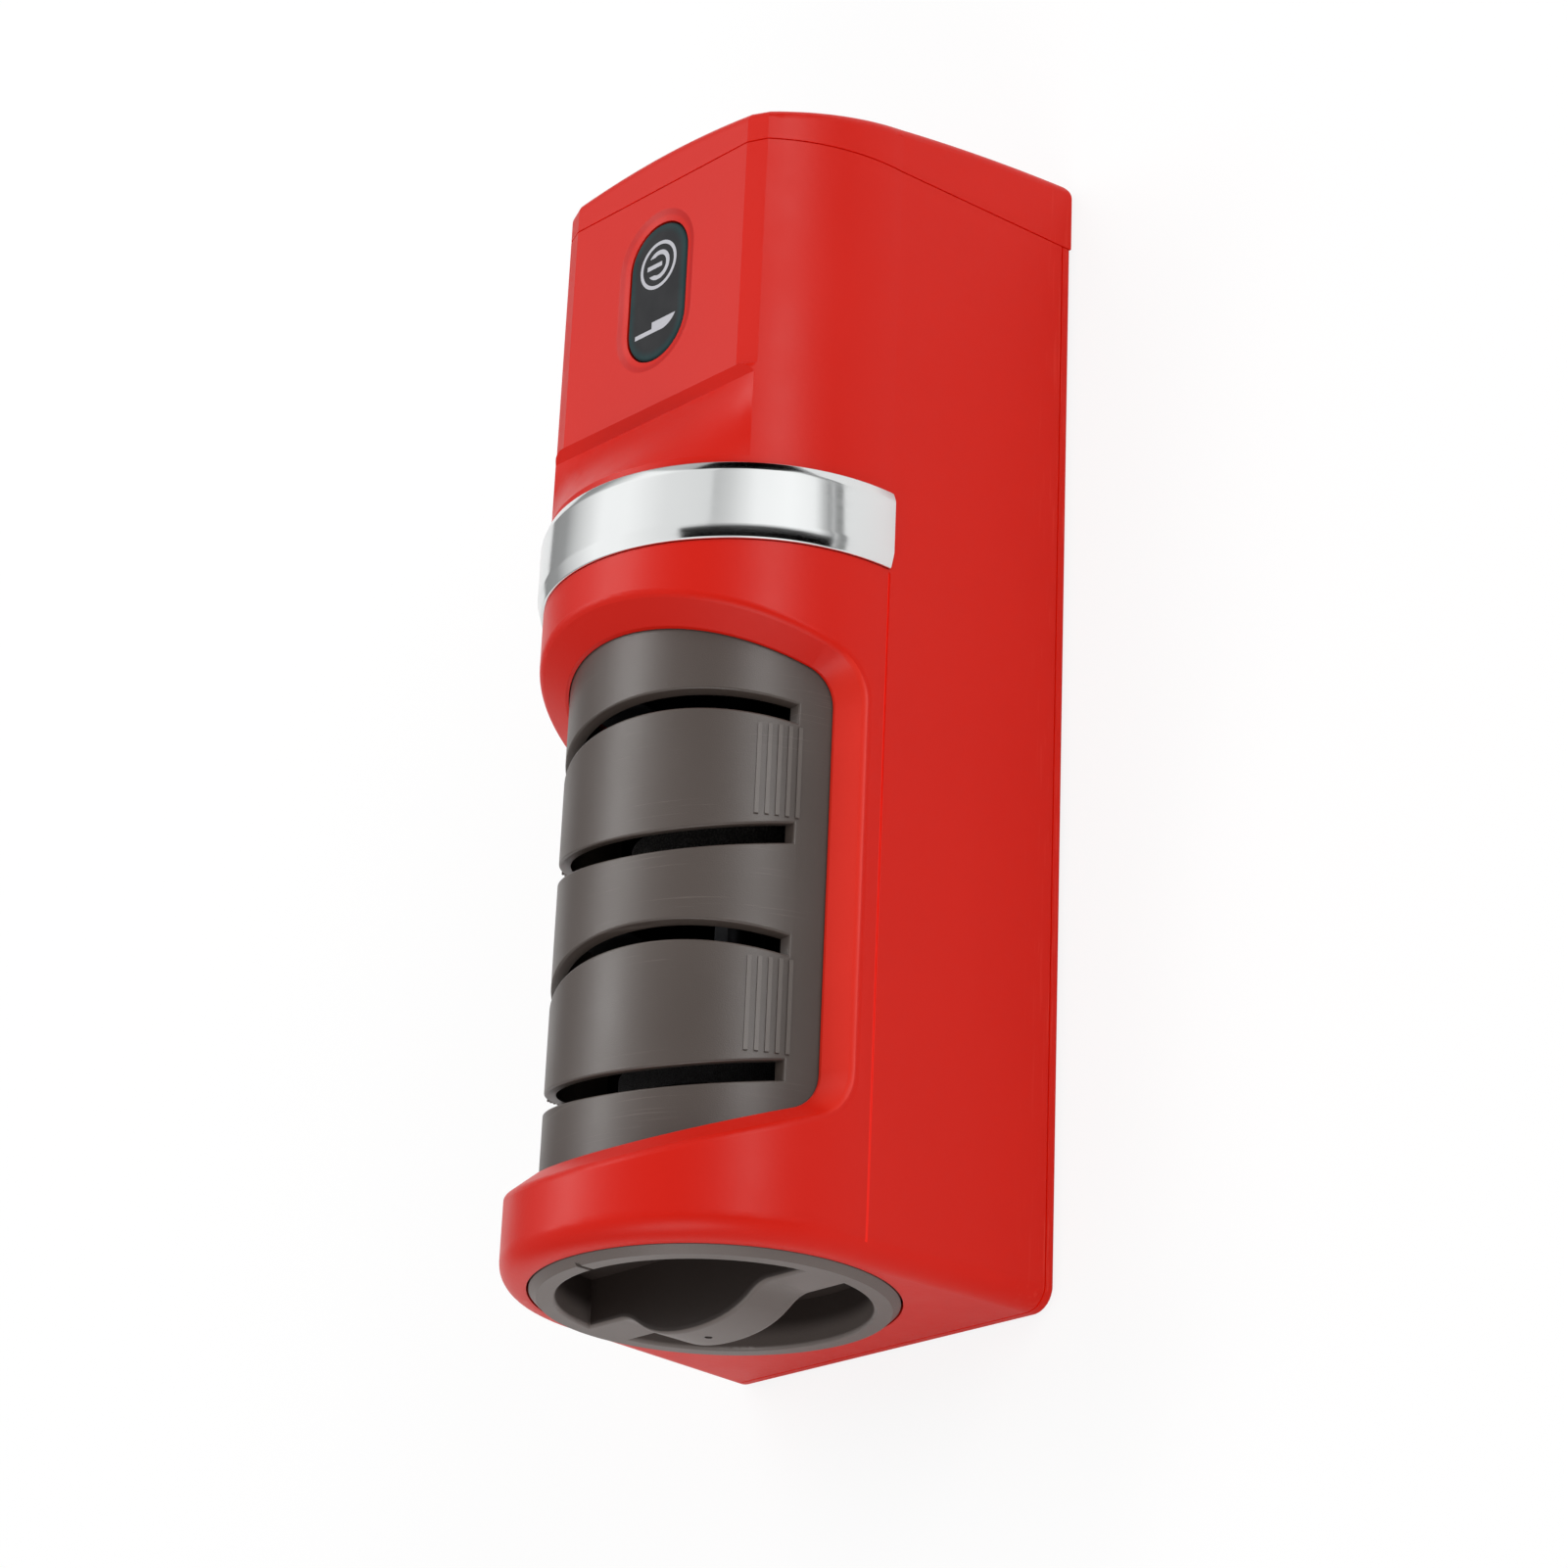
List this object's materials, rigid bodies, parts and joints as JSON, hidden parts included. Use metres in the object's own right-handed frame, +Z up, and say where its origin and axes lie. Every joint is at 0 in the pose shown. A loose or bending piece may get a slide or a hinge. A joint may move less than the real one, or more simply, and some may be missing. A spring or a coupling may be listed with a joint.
{
  "type": "electric knife sharpener",
  "caption": "Cordless electric knife sharpener: long arched body with leaning blade slots over sprung conical wheels, a twist knob at one end, a power button and a charging socket at the other.",
  "frame": {"origin": "middle of the footprint, on the surface that the rubber feet stand on", "axes": "+X along the body from the twist knob to the end cap, +Z up, +Y across the body"},
  "size_m": [0.2254, 0.0782, 0.0787],
  "materials": {
    "red_shell": "smooth semi-gloss moulding, red",
    "dark_grey_plastic": "fine satin texture, warm dark grey",
    "button_grey": "smooth satin, dark grey",
    "light_inlay": "light grey inlay",
    "inner_plastic": "plain moulded, dark",
    "bright_chrome": "polished plating",
    "black_rubber": "soft matt",
    "steel": "turned or drawn, bare",
    "bronze": "sintered, oiled",
    "fine_abrasive": "bonded fine grit, light grey",
    "coarse_abrasive": "bonded coarse grit, brown grey",
    "motor_steel": "zinc plated, dull",
    "magnet_grey": "pressed ferrite",
    "contact_metal": "tinned strip",
    "board_green": "solder mask",
    "cell_sleeve": "shrink sleeve on a metal can"
  },
  "bodies": {
    "body": {"housing": "red_shell", "end_cap": "red_shell", "base_plate": "red_shell", "rubber_feet": "black_rubber", "base_screws": "steel", "bracket_screws": "steel", "chrome_band": "bright_chrome", "slot_cover": "dark_grey_plastic", "cover_screws": "steel", "guide_springs": "steel", "bearing_outer_race": "steel", "bearing_balls": "steel", "bulkhead": "inner_plastic", "motor_plate": "inner_plastic", "motor_screws": "steel", "motor_can": "motor_steel", "motor_magnets": "magnet_grey", "motor_bell": "inner_plastic", "motor_terminals": "contact_metal", "tact_switch": "inner_plastic", "circuit_board": "board_green", "board_screws": "steel", "battery_cells": "cell_sleeve", "battery_cradle": "inner_plastic", "battery_contacts": "contact_metal", "charge_socket": "steel", "charge_board": "board_green", "dust_tray": "inner_plastic"},
    "knob": {"end_knob": "dark_grey_plastic", "knob_bush": "bronze"},
    "spindle": {"grinding_shaft": "steel", "shaft_clips": "steel", "fine_spring": "steel", "coarse_spring": "steel", "bearing_inner_race": "steel", "shaft_coupler": "inner_plastic", "motor_coupler": "inner_plastic", "motor_rotor": "motor_steel"},
    "fine_left": {"fine_wheel_left": "fine_abrasive"},
    "fine_right": {"fine_wheel_right": "fine_abrasive"},
    "coarse_left": {"coarse_wheel_left": "coarse_abrasive"},
    "coarse_right": {"coarse_wheel_right": "coarse_abrasive"},
    "button": {"power_button": "button_grey", "button_symbols": "light_inlay", "switch_plunger": "inner_plastic"}
  },
  "joints": [
    {"name": "knob_twist", "type": "hinge", "parent": "body", "child": "knob", "pos_m": [-0.10633, 0, 0.0415], "axis": [1, 0, 0], "range_deg": [0, 60]},
    {"name": "spindle_spin", "type": "hinge", "parent": "body", "child": "spindle", "pos_m": [0.00566, 0, 0.0415], "axis": [1, 0, 0], "continuous": true},
    {"name": "fine_left_float", "type": "slide", "parent": "spindle", "child": "fine_left", "axis": [1, 0, 0], "range_m": [0, 0.001], "stiffness_N_per_m": 400, "springref_m": -0.002, "deforming": ["fine_spring"]},
    {"name": "fine_right_float", "type": "slide", "parent": "spindle", "child": "fine_right", "axis": [-1, 0, 0], "range_m": [0, 0.001], "stiffness_N_per_m": 400, "springref_m": -0.002, "deforming": ["fine_spring"]},
    {"name": "coarse_left_float", "type": "slide", "parent": "spindle", "child": "coarse_left", "axis": [1, 0, 0], "range_m": [0, 0.001], "stiffness_N_per_m": 400, "springref_m": -0.002, "deforming": ["coarse_spring"]},
    {"name": "coarse_right_float", "type": "slide", "parent": "spindle", "child": "coarse_right", "axis": [-1, 0, 0], "range_m": [0, 0.001], "stiffness_N_per_m": 400, "springref_m": -0.002, "deforming": ["coarse_spring"]},
    {"name": "button_press", "type": "slide", "parent": "body", "child": "button", "axis": [0, 0, -1], "range_m": [0, 0.0005], "stiffness_N_per_m": 2500, "springref_m": -0.0004}
  ]
}
